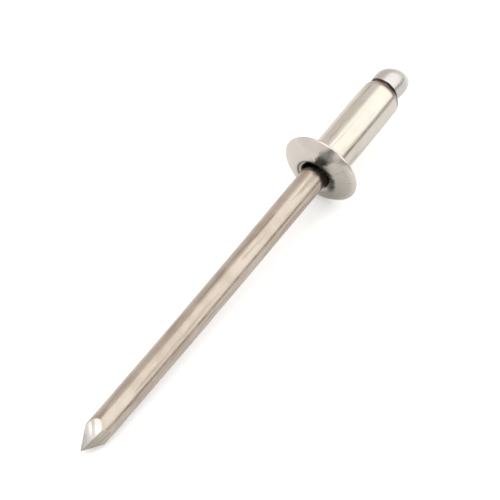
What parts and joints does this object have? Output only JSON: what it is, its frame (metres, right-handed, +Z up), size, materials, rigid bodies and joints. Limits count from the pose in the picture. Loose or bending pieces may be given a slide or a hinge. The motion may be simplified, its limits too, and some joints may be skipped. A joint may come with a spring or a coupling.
{
  "type": "blind rivet",
  "caption": "Open-end dome-head blind rivet, not yet set: a tubular body with a thin domed flange on a long pointed mandrel, lying at rest on its flange rim and its point.",
  "frame": {"origin": "centre of the floor area that the rivet lies over, on the floor: z = 0 is the surface that the flange's rim and the stem's end rest on", "axes": "Y along the rivet as it lies, with the mandrel's point towards -Y and the blind end towards +Y; Z up; X across. The rivet's own axis leans about 4 degrees down towards the point"},
  "size_m": [0.0064, 0.044, 0.0063],
  "materials": {
    "body_steel": "bright drawn stainless steel, satin on the flange",
    "mandrel_steel": "drawn stainless steel wire, with cut flats at the point"
  },
  "bodies": {
    "root": {"rivet_body": "body_steel", "mandrel": "mandrel_steel"}
  },
  "joints": []
}
